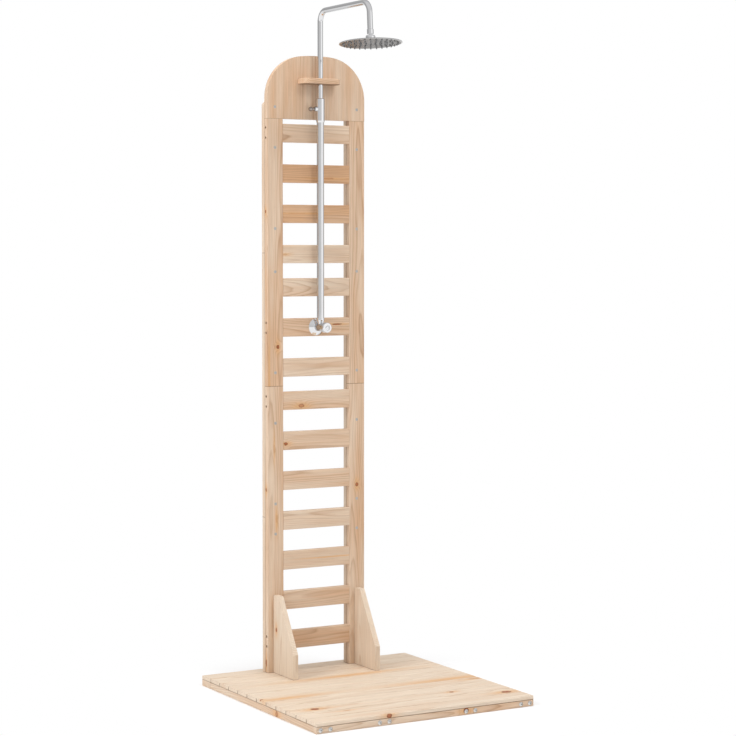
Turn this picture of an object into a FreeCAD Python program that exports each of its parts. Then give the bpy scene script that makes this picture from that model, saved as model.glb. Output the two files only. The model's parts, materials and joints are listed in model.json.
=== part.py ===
import FreeCAD, Part
import math
import os
import re
import Sketcher
from FreeCAD import Placement, Rotation, Vector

# Outdoor shower post: a slatted platform, a two-layer ladder back with an arched top panel, a
# telescopic riser with a swinging arm, a ball-jointed head and a stop valve on the sixth slat.
# Millimetres. +Z is up, the front faces -Y, +X runs along the slats, and the origin is on the
# floor under the middle of the platform.

doc = FreeCAD.newDocument("ShowerPost")

# Driving dimensions.
SIZES = {
    # platform
    "platform_width": 770,
    "platform_depth": 789,
    "deck_board_count": 12,
    "deck_board_width": 63,
    "deck_board_thickness": 12,
    "joist_height": 21,
    "joist_width": 60,
    "front_rail_depth": 20,
    "eased_edge": 1.5,
    # ladder back
    "ladder_width": 364,
    "ladder_setback": 36,
    "board_thickness": 20,
    "stile_width": 58,
    "slat_width": 60,
    "slat_pitch": 132,
    "slat_short_pitch": 109.4,
    "lowest_slat_gap": 73.5,
    "tenon_length": 9,
    "tenon_width": 40,
    "tenon_thickness": 8,
    "front_joint_height": 978,
    "rear_joint_low": 546,
    "rear_joint_high": 1415,
    "rear_top": 1950,
    "rear_top_bevel": 50,
    "panel_bottom": 1854,
    "arch_spring": 1921,
    "arch_corner_radius": 140,
    "arch_rise": 142,
    "arch_top_radius": 582,
    "shelf_width": 138,
    "shelf_depth": 54,
    "shelf_corner_radius": 24,
    "shelf_thickness": 18,
    "shelf_bottom": 1968,
    "shelf_hole_radius": 9.5,
    "gusset_height": 257,
    "gusset_depth": 140,
    "gusset_top_depth": 36,
    "gusset_front_height": 80,
    "gusset_thickness": 18,
    # fasteners
    "bolt_head_radius": 7,
    "bolt_head_height": 3.5,
    "bolt_radius": 3,
    "bolt_spacing": 33,
    "barrel_nut_radius": 5,
    "barrel_nut_length": 16,
    "counterbore_depth": 20,
    # riser
    "riser_offset": 28,
    "lower_tube_radius": 12,
    "lower_tube_bore": 11,
    "lower_tube_top": 1872,
    "riser_radius": 9,
    "riser_bore": 8,
    "riser_foot": 1775,
    "arm_height": 2207,
    "arm_bend": 37,
    "arm_reach": 332,
    "outlet_tilt": 4,
    "ball_height": 2090.5,
    "running_gap": 0.05,
    "bush_length": 24,
    "bush_plug": 16,
    "bush_bore": 6,
    "seal_section": 0.88,
    "seal_gap": 0.03,
    "seal_groove": 2.4,
    "seal_from_end": 5,
    "sleeve_bottom": 1843,
    "sleeve_height": 79,
    "sleeve_radius": 14.5,
    "sleeve_lip": 0.5,
    "sleeve_taper": 6,
    "sleeve_chamfer": 1.5,
    "clamp_height": 1887,
    "clamp_screw_radius": 3,
    "clamp_boss_radius": 8,
    "clamp_boss_reach": 22,
    "clamp_boss_sink": 1.5,
    "clamp_pad_reach": 9.3,
    "clamp_screw_tip": 11.8,
    "thumb_gap": 2,
    "thumb_flange_radius": 6.2,
    "thumb_flange_thickness": 1.5,
    "thumb_neck_curve": 4,
    "thumb_waist_radius": 3.7,
    "thumb_ball_radius": 7.6,
    "thumb_ball_from": 12,
    # valve
    "valve_height": 1169.9,
    "valve_barrel_radius": 13,
    "valve_barrel_length": 50,
    "valve_seat_radius": 9,
    "valve_seat_depth": 19,
    "valve_shank_radius": 12.2,
    "valve_shank_length": 29,
    "inlet_thread_radius": 10.48,
    "inlet_thread_length": 15,
    "inlet_undercut_radius": 9.3,
    "inlet_undercut_length": 2,
    "inlet_chamfer": 1,
    "inlet_bore": 7,
    "socket_neck_radius": 9.4,
    "socket_radius": 13.6,
    "socket_neck_height": 12,
    "tube_seat_height": 24,
    "tube_socket_depth": 7,
    "riser_way_radius": 8,
    "back_nut_radius": 18.5,
    "back_nut_thickness": 8,
    "rosette_radius": 28.5,
    "rosette_rise": 12.5,
    "rosette_thickness": 1.2,
    "spindle_radius": 4,
    "disc_radius": 6.8,
    "disc_from": 20.2,
    "disc_play": 0.1,
    "cartridge_from": 23,
    "cartridge_bore": 7,
    "cartridge_bore_end": 38,
    "cartridge_port": 4,
    "gland_radius": 7.5,
    "gland_length": 11,
    "gland_collar": 11,
    "gland_collar_length": 5,
    "knob_gap": 10,
    "knob_radius": 17,
    "knob_length": 16,
    "knob_edge": 3,
    "knob_dish_radius": 9,
    "knob_dish_depth": 1.6,
    "knob_dish_slope": 0.6,
    "knob_hub_depth": 6,
    "knob_hollow": 4.5,
    "cap_radius": 6.5,
    "cap_edge": 0.4,
    "cap_rise": 2,
    # head, about the ball's centre
    "ball_radius": 9.5,
    "liner_radius": 11,
    "liner_low": -0.5,
    "liner_high": 5,
    "seal_low": -8,
    "seal_high": -3.6,
    "neck_radius": 5,
    "water_bore": 3.5,
    "ferrule_from": 12.8,
    "ferrule_top": 28.5,
    "ferrule_radius": 10.6,
    "ferrule_chamfer": 1,
    "tube_stop": 16,
    "nut_radius": 15.2,
    "nut_bore": 13,
    "nut_foot": 8,
    "nut_shoulder": 5,
    "nut_chamfer": 0.8,
    "nut_curve": 6,
    "nut_top": 9.5,
    "nut_top_radius": 12,
    "nut_mouth": 7.3,
    "nut_mouth_from": 6,
    "nut_mouth_flare": 1.2,
    "head_radius": 100,
    "head_depth": 17.9,
    "head_edge": 2,
    "head_dome_radius": 1100,
    "head_hub_radius": 17.5,
    "head_hub_depth": 9.3,
    "head_hub_top": 1,
    "head_inlet_radius": 4,
    "head_floor_radius": 14,
    "head_floor_depth": 13.4,
    "shell_thickness": 1.6,
    "plate_radius": 96,
    "plate_thickness": 2,
    "nozzle_bead": 0.4,
    "nozzle_radius": 2,
    "nozzle_lip": 0.3,
    "nozzle_lip_length": 0.5,
    "nozzle_tip_radius": 1.5,
    "nozzle_bore": 0.6,
    "nozzle_length": 4.5,
}

sheet = doc.addObject("Spreadsheet::Sheet", "Sizes")
for row, (alias, value) in enumerate(SIZES.items(), start=1):
    sheet.set(f"A{row}", str(value))
    sheet.setAlias(f"A{row}", alias)
values = doc.addObject("Spreadsheet::Sheet", "Values")
doc.recompute()


def size(alias):
    """The value that the sheet holds under this alias."""
    return float(sheet.get(alias))


def cells(formula):
    """A formula in aliases, written as the sheet's cells."""
    return re.sub(r"\b[a-z]+(_[a-z]+)+\b", r"Sizes.\g<0>", formula)


def bind(item, **formulas):
    """Bind properties to formulas in aliases; x, y and z are the placement's base."""
    for name, formula in formulas.items():
        path = f".Placement.Base.{name}" if name in ("x", "y", "z") else name
        item.setExpression(path, cells(formula))
    return item


# Places that several pieces share, as formulas and, for loops over fasteners, as numbers.
LADDER_FRONT = "(platform_depth / 2 - ladder_setback - 2 * board_thickness)"
RISER_Y = f"({LADDER_FRONT} - riser_offset)"
DECK_TOP = "(joist_height + deck_board_thickness)"
STILE_X = "(ladder_width / 2 - stile_width / 2)"
BAY_WIDTH = "(ladder_width - 2 * stile_width)"

deck_top = size("joist_height") + size("deck_board_thickness")
half_depth = size("platform_depth") / 2
ladder_front = half_depth - size("ladder_setback") - 2 * size("board_thickness")
ladder_rear = half_depth - size("ladder_setback")
layer_seam = (ladder_front + ladder_rear) / 2
stile_x = size("ladder_width") / 2 - size("stile_width") / 2
side_joist_x = size("platform_width") / 2 - size("joist_width") / 2
outlet_tilt = math.radians(size("outlet_tilt"))

SIDES = (("left", -1), ("right", 1))
TURN_FRONT = Rotation(Vector(1, 0, 0), 90)    # a piece's +Z to the front, -Y
TURN_BACK = Rotation(Vector(1, 0, 0), -90)    # +Z to the back, +Y
TURN_LEFT = Rotation(Vector(0, 1, 0), -90)    # +Z to the left, -X
TURN_RIGHT = Rotation(Vector(0, 1, 0), 90)    # +Z to the right, +X
TURN_DOWN = Rotation(Vector(1, 0, 0), 180)    # +Z down

nodes = []


def node(item, label):
    """Name a finished sub-part; its file takes the same name."""
    item.Label = label
    nodes.append(item)
    return item


# ---------------------------------------------------------------- sketches and solids

def new_sketch(body, plane_role, name):
    """A sketch on one of the body's own origin planes."""
    sketch = body.newObject("Sketcher::SketchObject", name)
    plane = [item for item in body.Origin.OriginFeatures if item.Role == plane_role][0]
    sketch.AttachmentSupport = (plane, [""])
    sketch.MapMode = "FlatFace"
    return sketch


def constrain(sketch, kind, formula, *what):
    """Add a dimension to a sketch and bind it to a formula."""
    index = sketch.addConstraint(Sketcher.Constraint(kind, *what))
    sketch.setExpression(f"Constraints[{index}]", cells(formula))


def worked_out(formulas):
    """The values of formulas in aliases, worked out in a sheet of their own."""
    for row, formula in enumerate(formulas, start=1):
        values.set(f"A{row}", "=" + cells(str(formula)))
    values.recompute()
    return [float(values.get(f"A{row}")) for row in range(1, len(formulas) + 1)]


def arc_through(start, end, radius):
    """The short arc between two points; it turns left on the way if its radius is positive."""
    chord = end - start
    aside = Vector(-chord.y, chord.x, 0).normalize()
    away = math.sqrt(radius ** 2 - chord.Length ** 2 / 4)
    centre = (start + end) / 2 + aside * math.copysign(away, radius)
    angles = [math.atan2(point.y - centre.y, point.x - centre.x) for point in (start, end)]
    if radius < 0:
        angles.reverse()
    return Part.ArcOfCircle(Part.Circle(centre, Vector(0, 0, 1), abs(radius)), *angles)


def outline(sketch, corners):
    """A closed outline whose corners are pairs of formulas. A third formula makes an arc of the
    way to the next corner: its radius, negative where the way turns right."""
    count = len(corners)
    across = worked_out([corner[0] for corner in corners])
    up = worked_out([corner[1] for corner in corners])
    spots = [Vector(x, y, 0) for x, y in zip(across, up)]
    radii = [worked_out(corner[2:])[0] if len(corner) > 2 else 0 for corner in corners]
    starts = [2 if radius < 0 else 1 for radius in radii]
    for i, radius in enumerate(radii):
        ahead = spots[(i + 1) % count]
        sketch.addGeometry(arc_through(spots[i], ahead, radius) if radius else
                           Part.LineSegment(spots[i], ahead))
    for i in range(count):
        following = (i + 1) % count
        sketch.addConstraint(Sketcher.Constraint("Coincident", i, 3 - starts[i],
                                                 following, starts[following]))
    for i, corner in enumerate(corners):
        constrain(sketch, "DistanceX", str(corner[0]), -1, 1, i, starts[i], spots[i].x)
        constrain(sketch, "DistanceY", str(corner[1]), -1, 1, i, starts[i], spots[i].y)
        if radii[i]:
            constrain(sketch, "Radius", f"abs({corner[2]})", i, abs(radii[i]))


def hexagon_corners(radius):
    """The corners of a regular hexagon, as formulas."""
    turns = [math.radians(60 * i) for i in range(6)]
    return [(f"{math.cos(turn):.4f} * {radius}", f"{math.sin(turn):.4f} * {radius}") for turn in turns]


def cap_sphere(radius, rise):
    """The radius of the sphere whose cap has this base radius and this rise."""
    return f"((({radius}) ^ 2 + ({rise}) ^ 2) / (2 * ({rise})))"


def padded(label, plane_role, corners, length):
    """An outline padded along its plane's normal: YZ to +X, XZ to -Y, XY to +Z."""
    body = doc.addObject("PartDesign::Body", label)
    sketch = new_sketch(body, plane_role, label + "_section")
    outline(sketch, corners)
    pad = body.newObject("PartDesign::Pad", label + "_pad")
    pad.Profile = sketch
    pad.setExpression("Length", cells(length))
    return body


def turned(label, corners):
    """A turned piece: an outline of (radius, height) corners, revolved about its own Z axis."""
    body = doc.addObject("PartDesign::Body", label)
    sketch = new_sketch(body, "XZ_Plane", label + "_profile")
    outline(sketch, corners)
    turn = body.newObject("PartDesign::Revolution", label + "_turn")
    turn.Profile = sketch
    turn.ReferenceAxis = (sketch, ["V_Axis"])
    turn.Angle = 360
    return body


def board(label, run, length, width, height):
    """A planed board with eased long edges, from its low corner; a run along Y goes to -Y."""
    ease = "eased_edge"
    corners = [(ease, "0"), (f"{width} - {ease}", "0"), (width, ease), (width, f"{height} - {ease}"),
               (f"{width} - {ease}", height), (ease, height), ("0", f"{height} - {ease}"), ("0", ease)]
    plane_role = {"X": "YZ_Plane", "Y": "XZ_Plane", "Z": "XY_Plane"}[run]
    return padded(label, plane_role, corners, length)


def rod(label, radius, length, turn=None):
    """A cylinder from its own origin along the turned Z axis."""
    cylinder = doc.addObject("Part::Cylinder", label)
    if turn:
        cylinder.Placement = Placement(Vector(), turn)
    return bind(cylinder, Radius=radius, Height=length)


def block(label, length, width, height):
    return bind(doc.addObject("Part::Box", label), Length=length, Width=width, Height=height)


def ball(label, radius):
    return bind(doc.addObject("Part::Sphere", label), Radius=radius)


def joined(label, *pieces):
    fuse = doc.addObject("Part::MultiFuse", label)
    fuse.Shapes = list(pieces)
    return fuse


def grouped(label, *pieces):
    group = doc.addObject("Part::Compound", label)
    group.Links = list(pieces)
    return group


def cut(label, base, *tools):
    """The base less one tool, or less all of several tools."""
    result = doc.addObject("Part::Cut", label)
    result.Base = base
    result.Tool = tools[0] if len(tools) == 1 else joined(label + "_tools", *tools)
    return result


def placed(master, places):
    """Copies of a master's shape, one at each placement."""
    doc.recompute()
    shapes = []
    for place in places:
        shape = master.Shape.copy()
        shape.Placement = place
        shapes.append(shape)
    return shapes


def separate(label, shapes):
    """A group of separate solids."""
    group = doc.addObject("Part::Feature", label)
    group.Shape = Part.makeCompound(shapes)
    return group


def drilled(label, base, ways):
    """The base less those of the ways that reach its box."""
    doc.recompute()
    near = [way for way in ways if base.Shape.BoundBox.intersect(way.BoundBox)]
    return cut(label, base, separate(label + "_ways", near))


# ---------------------------------------------------------------- fasteners
# Each fastener is a pair: its own solid, and the way that it needs through the boards.

HEAD_LAND = 0.2            # the straight rim of a countersunk head
CROSS_ARM = 0.62           # of the head's radius
CROSS_SLOT = 0.16
SOCKET_SIZE = 0.33
BOLT_RIM = 0.2             # of the head's height


def screw(label, head_radius, shank_radius, length, cover):
    """A countersunk wood screw, its head's top at the origin; its way goes on above the head."""
    head_height = head_radius - shank_radius
    point = 2 * shank_radius
    shank = [(0, -length), (shank_radius, point - length), (shank_radius, -head_height),
             (head_radius, -HEAD_LAND)]
    body = turned(label, shank + [(head_radius, 0), (0, 0)])
    way = turned(label + "_way", shank + [(head_radius, cover), (0, cover)])
    arm = CROSS_ARM * head_radius
    slot = CROSS_SLOT * head_radius
    cross = new_sketch(body, "XY_Plane", label + "_cross")
    outline(cross, [(arm, -slot), (arm, slot), (slot, slot), (slot, arm), (-slot, arm), (-slot, slot),
                    (-arm, slot), (-arm, -slot), (-slot, -slot), (-slot, -arm), (slot, -arm), (slot, -slot)])
    recess = body.newObject("PartDesign::Pocket", label + "_recess")
    recess.Profile = cross
    recess.Length = 0.5 * head_height
    return body, way


def bolt(label, length):
    """A dome-headed bolt with a hexagon socket, the head's seat at the origin, shank down."""
    dome = cap_sphere("bolt_head_radius", f"{1 - BOLT_RIM} * bolt_head_height")
    body = turned(label, [("0", f"-{length}"), ("bolt_radius", f"-{length}"), ("bolt_radius", "0"),
                          ("bolt_head_radius", "0"),
                          ("bolt_head_radius", f"{BOLT_RIM} * bolt_head_height", dome),
                          ("0", "bolt_head_height")])
    socket = new_sketch(body, "XY_Plane", label + "_socket")
    outline(socket, hexagon_corners(f"{SOCKET_SIZE} * bolt_head_radius"))
    recess = body.newObject("PartDesign::Pocket", label + "_recess")
    recess.Profile = socket
    recess.Reversed = True
    bind(recess, Length="bolt_head_height + 1")
    way = turned(label + "_way", [("0", f"-{length}"), ("bolt_radius", f"-{length}"), ("bolt_radius", "0"),
                                  ("0", "0")])
    return body, way


ways = []


def driven(fastener, places):
    """Copies of a fastener at these placements; their ways are noted for the boards."""
    body, way = fastener
    ways.extend(placed(way, places))
    return placed(body, places)


FACE_SCREW_LENGTH = 35
LONG_SCREW_LENGTH = 70
DECK_SCREW_LENGTH = 28
SHELF_SCREW_LENGTH = 45
RAIL_BOLT_LENGTH = 60
BEAM_BOLT_LENGTH = 100
HEAD_SINK = 0.3
SIDE_SINK = size("counterbore_depth")

face_screw = screw("face_screw", 5, 2.5, FACE_SCREW_LENGTH, 1)
long_screw = screw("long_screw", 4.3, 2.4, LONG_SCREW_LENGTH, 1)
side_screw = screw("side_screw", 4.3, 2.4, LONG_SCREW_LENGTH, SIDE_SINK + 1)
deck_screw = screw("deck_screw", 3.8, 2, DECK_SCREW_LENGTH, 1)
shelf_screw = screw("shelf_screw", 4, 2.2, SHELF_SCREW_LENGTH, 1)
rail_bolt = bolt("rail_bolt", RAIL_BOLT_LENGTH)
beam_bolt = bolt("beam_bolt", BEAM_BOLT_LENGTH)

barrel = rod("barrel_blank", "barrel_nut_radius", "barrel_nut_length")
barrel_thread = bind(rod("barrel_thread", "bolt_radius", "2 * barrel_nut_radius", TURN_FRONT),
                     y="barrel_nut_radius", z="barrel_nut_length / 2")
barrel_nut = cut("barrel_nut", barrel, barrel_thread), barrel

# The slats' lower edges follow one pitch, but two of the gaps are shorter.
SLAT_COUNT = 14
SHORT_GAPS_ABOVE = (5, 8)
SCREWED_SLATS = (1, 6, 8, 14)
VALVE_SLAT = 6


def slat_steps(number):
    """How many full and how many short pitches lie between this slat and the lowest one."""
    short = sum(1 for slat in SHORT_GAPS_ABOVE if slat > number)
    return SLAT_COUNT - number - short, short


def slat_formula(number):
    full, short = slat_steps(number)
    return f"({DECK_TOP} + lowest_slat_gap + {full} * slat_pitch + {short} * slat_short_pitch)"


def slat_bottom(number):
    full, short = slat_steps(number)
    return deck_top + size("lowest_slat_gap") + full * size("slat_pitch") + short * size("slat_short_pitch")


# Screws through the stile faces, which tie the front layer to the lengths of the rear one.
FACE_SCREW_HEIGHTS = (1891.5, 1759.5, 1494.9, 1353.7, 1022.4, 856.6, 590.7, 491.3)
face_places = [Placement(Vector(side * stile_x, ladder_front + HEAD_SINK, height), TURN_FRONT)
               for _, side in SIDES for height in FACE_SCREW_HEIGHTS]

# Screws through the stiles' edges into the slats' ends, sunk in deep counterbores.
SIDE_SCREW_SPREAD = 16.5
side_places = []
for _, side in SIDES:
    for number in SCREWED_SLATS:
        for lean in (-SIDE_SCREW_SPREAD, SIDE_SCREW_SPREAD):
            spot = Vector(side * (size("ladder_width") / 2 - SIDE_SINK), (ladder_front + layer_seam) / 2,
                          slat_bottom(number) + size("slat_width") / 2 + lean)
            side_places.append(Placement(spot, TURN_RIGHT if side > 0 else TURN_LEFT))

# Screws into the gussets from the rear, and into the gussets and the posts' feet from below.
GUSSET_SCREW_HEIGHTS = (88, 228)
GUSSET_FOOT_STEPS = (35, 105)
POST_FOOT_SPREAD = 9
long_places = []
for _, side in SIDES:
    for height in GUSSET_SCREW_HEIGHTS:
        spot = Vector(side * stile_x, ladder_rear - HEAD_SINK, height)
        long_places.append(Placement(spot, TURN_BACK))
    for step in GUSSET_FOOT_STEPS:
        spot = Vector(side * stile_x, ladder_front - step, HEAD_SINK)
        long_places.append(Placement(spot, TURN_DOWN))
    for lean in (-POST_FOOT_SPREAD, POST_FOOT_SPREAD):
        spot = Vector(side * stile_x + lean, (layer_seam + ladder_rear) / 2, HEAD_SINK)
        long_places.append(Placement(spot, TURN_DOWN))

SHELF_SCREW_X = 42
shelf_middle = size("shelf_bottom") + size("shelf_thickness") / 2
shelf_places = [Placement(Vector(side * SHELF_SCREW_X, layer_seam - HEAD_SINK, shelf_middle), TURN_BACK)
                for _, side in SIDES]

node(separate("frame_screws", driven(face_screw, face_places) + driven(side_screw, side_places)
              + driven(long_screw, long_places) + driven(shelf_screw, shelf_places)), "frame_screws")

# Deck screws from below, one for each board and joist, between the lines of the rail bolts.
DECK_SCREW_LEAN = 8
deck_pitch = (size("platform_depth") - size("deck_board_width")) / (size("deck_board_count") - 1)
board_count = int(size("deck_board_count"))
deck_places = [Placement(Vector(side * (joist_x - DECK_SCREW_LEAN),
                                half_depth - size("deck_board_width") / 2 - index * deck_pitch,
                                2 * HEAD_SINK), TURN_DOWN)
               for index in range(board_count) for joist_x in (stile_x, side_joist_x) for _, side in SIDES]
node(separate("deck_screws", driven(deck_screw, deck_places)), "deck_screws")

# Two bolts into each end of each joist, with a barrel nut across each shank near its tip.
BARREL_FROM_TIP = 12
bolt_height = size("joist_height") / 2
barrel_low = bolt_height - size("barrel_nut_length") / 2
rail_places = []
beam_places = []
barrel_places = []
for middle in (-side_joist_x, -stile_x, stile_x, side_joist_x):
    for lean in (-size("bolt_spacing") / 2, size("bolt_spacing") / 2):
        x = middle + lean
        rail_places.append(Placement(Vector(x, -half_depth, bolt_height), TURN_FRONT))
        beam_places.append(Placement(Vector(x, half_depth, bolt_height), TURN_BACK))
        for y in (RAIL_BOLT_LENGTH - BARREL_FROM_TIP - half_depth,
                  half_depth - BEAM_BOLT_LENGTH + BARREL_FROM_TIP):
            barrel_places.append(Placement(Vector(x, y, barrel_low), Rotation()))
node(separate("rail_bolts", driven(rail_bolt, rail_places) + driven(beam_bolt, beam_places)), "rail_bolts")
node(separate("barrel_nuts", driven(barrel_nut, barrel_places)), "barrel_nuts")

# ---------------------------------------------------------------- platform

DECK_PITCH = "((platform_depth - deck_board_width) / (deck_board_count - 1))"
for index in range(board_count):
    name = f"deck_board_{index + 1:02d}"
    plank = board(name + "_blank", "X", "platform_width", "deck_board_width", "deck_board_thickness")
    bind(plank, x="-platform_width / 2", z="joist_height",
         y=f"platform_depth / 2 - deck_board_width - {index} * {DECK_PITCH}")
    node(drilled(name, plank, ways), name)

rail = board("front_rail_blank", "X", "platform_width", "front_rail_depth", "joist_height")
bind(rail, x="-platform_width / 2", y="-platform_depth / 2")
node(drilled("front_rail", rail, ways), "front_rail")

beam = board("rear_beam_blank", "X", "platform_width", "joist_width", "joist_height")
bind(beam, x="-platform_width / 2", y="platform_depth / 2 - joist_width")
node(drilled("rear_beam", beam, ways), "rear_beam")

JOISTS = {"side_left": "-(platform_width / 2 - joist_width / 2)", "inner_left": f"-{STILE_X}",
          "inner_right": STILE_X, "side_right": "(platform_width / 2 - joist_width / 2)"}
joists = []
for name, middle in JOISTS.items():
    joist = board(f"joist_{name}_blank", "Y", "platform_depth - joist_width - front_rail_depth",
                  "joist_width", "joist_height")
    bind(joist, x=f"{middle} - joist_width / 2", y="platform_depth / 2 - joist_width")
    joists.append(drilled(f"joist_{name}", joist, ways))
node(grouped("joists", *joists), "joists")

# ---------------------------------------------------------------- ladder back

mortises = []
for number in range(1, SLAT_COUNT + 1):
    name = f"slat_{number:02d}"
    slat = board(name + "_blank", "X", BAY_WIDTH, "board_thickness", "slat_width")
    bind(slat, x=f"-{BAY_WIDTH} / 2", y=LADDER_FRONT, z=slat_formula(number))
    tenon = block(name + "_tenon", f"{BAY_WIDTH} + 2 * tenon_length", "tenon_thickness", "tenon_width")
    bind(tenon, x=f"-{BAY_WIDTH} / 2 - tenon_length",
         y=f"{LADDER_FRONT} + board_thickness / 2 - tenon_thickness / 2",
         z=f"{slat_formula(number)} + slat_width / 2 - tenon_width / 2")
    whole = joined(name + "_joined", slat, tenon)
    if number in SCREWED_SLATS:
        whole = drilled(name + "_drilled", whole, ways)
    if number == VALVE_SLAT:
        valve_way = rod("valve_hole", "valve_shank_radius", "board_thickness", TURN_BACK)
        bind(valve_way, y=LADDER_FRONT, z="valve_height")
        whole = cut(name + "_bored", whole, valve_way)
    node(whole, name)
    doc.recompute()
    mortises.append(tenon.Shape.copy())


def stile(label, side, layer, low, high):
    """One upright length of a layer's post, from its low end to its high end."""
    bar = board(label + "_blank", "Z", f"{high} - {low}", "stile_width", "board_thickness")
    return bind(bar, x=f"{side} * {STILE_X} - stile_width / 2", y=layer, z=low)


for level, low, high in (("lower", DECK_TOP, "front_joint_height"),
                         ("upper", "front_joint_height", "panel_bottom")):
    pair = [drilled(f"front_stile_{level}_{name}",
                    stile(f"front_stile_{level}_{name}", side, LADDER_FRONT, low, high), ways + mortises)
            for name, side in SIDES]
    node(grouped(f"front_stiles_{level}", *pair), f"front_stiles_{level}")

REAR_LAYER = f"({LADDER_FRONT} + board_thickness)"
rear_stiles = []
for name, side in SIDES:
    for level, low, high in (("lower", DECK_TOP, "rear_joint_low"),
                             ("middle", "rear_joint_low", "rear_joint_high")):
        bar = stile(f"rear_stile_{level}_{name}", side, REAR_LAYER, low, high)
        rear_stiles.append(drilled(f"rear_stile_{level}_{name}", bar, ways))
    # The outer top corner is sawn off, so that the post stays hidden behind the arch.
    bar = stile(f"rear_stile_upper_{name}", side, REAR_LAYER, "rear_joint_high", "rear_top")
    corner_cut = padded(f"rear_corner_cut_{name}", "XZ_Plane",
                        [(f"{side} * rear_top_bevel", "-2 * rear_top_bevel"),
                         (f"{side} * rear_top_bevel", "rear_top_bevel"),
                         (f"-{side} * 2 * rear_top_bevel", "rear_top_bevel")], "2 * board_thickness")
    bind(corner_cut, x=f"{side} * ladder_width / 2", y=f"{REAR_LAYER} + 1.5 * board_thickness", z="rear_top")
    sawn = cut(f"rear_stile_sawn_{name}", bar, corner_cut)
    rear_stiles.append(drilled(f"rear_stile_upper_{name}", sawn, ways))
node(grouped("rear_stiles", *rear_stiles), "rear_stiles")

# The panel's top is a flat arch: two corner arcs joined by a wide one, tangent to both.
panel = doc.addObject("PartDesign::Body", "panel_blank")
arch = new_sketch(panel, "XZ_Plane", "arch")
half = size("ladder_width") / 2
spring = size("arch_spring") - size("panel_bottom")
corner = size("arch_corner_radius")
crown = spring + size("arch_rise")
top_centre = Vector(0, crown - size("arch_top_radius"), 0)
right_centre = Vector(half - corner, spring, 0)
left_centre = Vector(corner - half, spring, 0)
swing = math.atan2(spring - top_centre.y, half - corner)
for line in ((Vector(-half, 0, 0), Vector(half, 0, 0)), (Vector(half, 0, 0), Vector(half, spring, 0)),
             (Vector(-half, spring, 0), Vector(-half, 0, 0))):
    arch.addGeometry(Part.LineSegment(*line))
normal = Vector(0, 0, 1)
arch.addGeometry(Part.ArcOfCircle(Part.Circle(right_centre, normal, corner), 0, swing))
arch.addGeometry(Part.ArcOfCircle(Part.Circle(top_centre, normal, size("arch_top_radius")),
                                  swing, math.pi - swing))
arch.addGeometry(Part.ArcOfCircle(Part.Circle(left_centre, normal, corner), math.pi - swing, math.pi))
arch.addConstraint([
    Sketcher.Constraint("Coincident", 0, 2, 1, 1), Sketcher.Constraint("Coincident", 2, 2, 0, 1),
    Sketcher.Constraint("Horizontal", 0), Sketcher.Constraint("Vertical", 1),
    Sketcher.Constraint("Vertical", 2), Sketcher.Constraint("Tangent", 1, 2, 3, 1),
    Sketcher.Constraint("Tangent", 3, 2, 4, 1), Sketcher.Constraint("Tangent", 4, 2, 5, 1),
    Sketcher.Constraint("Tangent", 5, 2, 2, 1), Sketcher.Constraint("PointOnObject", 0, 1, -1),
    Sketcher.Constraint("Equal", 3, 5)])
constrain(arch, "DistanceX", "-ladder_width / 2", -1, 1, 0, 1, -half)
constrain(arch, "DistanceX", "ladder_width / 2", -1, 1, 0, 2, half)
constrain(arch, "DistanceY", "arch_spring - panel_bottom", -1, 1, 1, 2, spring)
constrain(arch, "Radius", "arch_corner_radius", 3, corner)
panel_pad = panel.newObject("PartDesign::Pad", "panel_pad")
panel_pad.Profile = arch
bind(panel_pad, Length="board_thickness")
bind(panel, y=f"{LADDER_FRONT} + board_thickness", z="panel_bottom")
node(drilled("arched_panel", panel, ways), "arched_panel")

# The shelf's two front corners are round, and its edges are eased above and below.
SHELF_CORNER_X = "(shelf_width / 2 - shelf_corner_radius)"
SHELF_CORNER_Y = "(shelf_corner_radius - shelf_depth)"
shelf = padded("shelf_blank", "XY_Plane", [
    ("-shelf_width / 2", SHELF_CORNER_Y, "shelf_corner_radius"), (f"-{SHELF_CORNER_X}", "-shelf_depth"),
    (SHELF_CORNER_X, "-shelf_depth", "shelf_corner_radius"), ("shelf_width / 2", SHELF_CORNER_Y),
    ("shelf_width / 2", "0"), ("-shelf_width / 2", "0")], "shelf_thickness")
bind(shelf, y=LADDER_FRONT, z="shelf_bottom")
doc.recompute()
shelf_pad = shelf.Tip
flat_edges = [f"Edge{i + 1}" for i, edge in enumerate(shelf_pad.Shape.Edges)
              if edge.BoundBox.ZLength < 0.001 and edge.BoundBox.YMin < -0.001]
easing = shelf.newObject("PartDesign::Chamfer", "shelf_easing")
easing.Base = (shelf_pad, flat_edges)
bind(easing, Size="eased_edge")
shelf_hole = rod("shelf_hole", "shelf_hole_radius", "shelf_thickness")
bind(shelf_hole, y=RISER_Y, z="shelf_bottom")
node(drilled("pipe_shelf", cut("shelf_holed", shelf, shelf_hole), ways), "pipe_shelf")

gussets = []
for name, side in SIDES:
    brace = padded(f"gusset_{name}_blank", "YZ_Plane",
                   [("0", "0"), ("0", "gusset_height"), ("-gusset_top_depth", "gusset_height"),
                    ("-gusset_depth", "gusset_front_height"), ("-gusset_depth", "0")], "gusset_thickness")
    bind(brace, x=f"{side} * {STILE_X} - gusset_thickness / 2", y=LADDER_FRONT, z=DECK_TOP)
    gussets.append(drilled(f"gusset_{name}", brace, ways))
node(grouped("gussets", *gussets), "gussets")

# ---------------------------------------------------------------- riser and arm

TUBE_FOOT = "(valve_height + tube_seat_height)"
tube_wall = bind(rod("tube_wall", "lower_tube_radius", f"lower_tube_top - {TUBE_FOOT}"),
                 y=RISER_Y, z=TUBE_FOOT)
tube_bore = bind(rod("tube_bore", "lower_tube_bore", f"lower_tube_top - {TUBE_FOOT}"),
                 y=RISER_Y, z=TUBE_FOOT)
node(cut("lower_tube", tube_wall, tube_bore), "lower_tube")

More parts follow.
